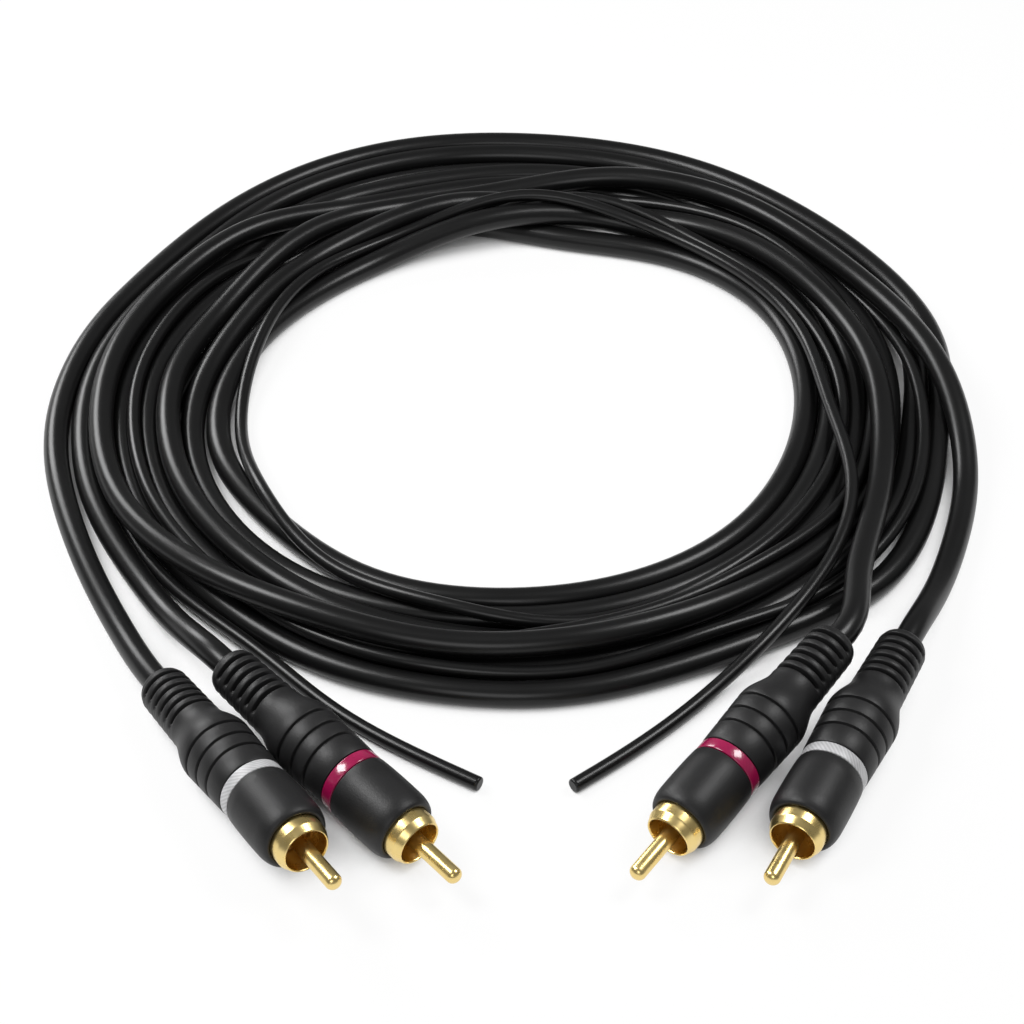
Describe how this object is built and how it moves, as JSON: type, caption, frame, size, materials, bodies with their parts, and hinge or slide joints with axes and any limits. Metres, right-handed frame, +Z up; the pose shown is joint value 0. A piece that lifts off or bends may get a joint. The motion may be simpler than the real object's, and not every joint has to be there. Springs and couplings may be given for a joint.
{
  "type": "phono audio cable",
  "caption": "Coiled stereo audio lead with moulded phono plugs on shielded cords and a thin remote wire alongside.",
  "frame": {"origin": "on the floor, in the middle of the box of the four plugs", "axes": "+X across the row of plugs to the right, +Y from the plugs to the coil, +Z up"},
  "size_m": [0.2044, 0.2426, 0.0171],
  "materials": {
    "rubber_boot": "satin moulded rubber",
    "cord_jacket": "satin soft vinyl",
    "white_ring": "gloss",
    "red_ring": "gloss",
    "gilt_brass": "bright gilt",
    "insulator": "plain moulded plastic",
    "copper": "bare copper wire"
  },
  "bodies": {
    "root": {"white_left_boot": "rubber_boot", "white_left_colour_ring": "white_ring", "white_left_shell": "gilt_brass", "white_left_insulating_bush": "insulator", "white_left_centre_pin": "gilt_brass", "white_left_inner_mould": "insulator", "white_left_cord_end": "cord_jacket", "white_left_shield": "copper", "white_left_core": "insulator", "white_left_conductor": "copper", "white_left_lead": "cord_jacket", "red_left_boot": "rubber_boot", "red_left_colour_ring": "red_ring", "red_left_shell": "gilt_brass", "red_left_insulating_bush": "insulator", "red_left_centre_pin": "gilt_brass", "red_left_inner_mould": "insulator", "red_left_cord_end": "cord_jacket", "red_left_shield": "copper", "red_left_core": "insulator", "red_left_conductor": "copper", "red_left_lead": "cord_jacket", "red_right_boot": "rubber_boot", "red_right_colour_ring": "red_ring", "red_right_shell": "gilt_brass", "red_right_insulating_bush": "insulator", "red_right_centre_pin": "gilt_brass", "red_right_inner_mould": "insulator", "red_right_cord_end": "cord_jacket", "red_right_shield": "copper", "red_right_core": "insulator", "red_right_conductor": "copper", "red_right_lead": "cord_jacket", "white_right_boot": "rubber_boot", "white_right_colour_ring": "white_ring", "white_right_shell": "gilt_brass", "white_right_insulating_bush": "insulator", "white_right_centre_pin": "gilt_brass", "white_right_inner_mould": "insulator", "white_right_cord_end": "cord_jacket", "white_right_shield": "copper", "white_right_core": "insulator", "white_right_conductor": "copper", "white_right_lead": "cord_jacket", "remote_wire_left": "cord_jacket", "remote_wire_right": "cord_jacket", "coil": "cord_jacket"}
  },
  "joints": []
}
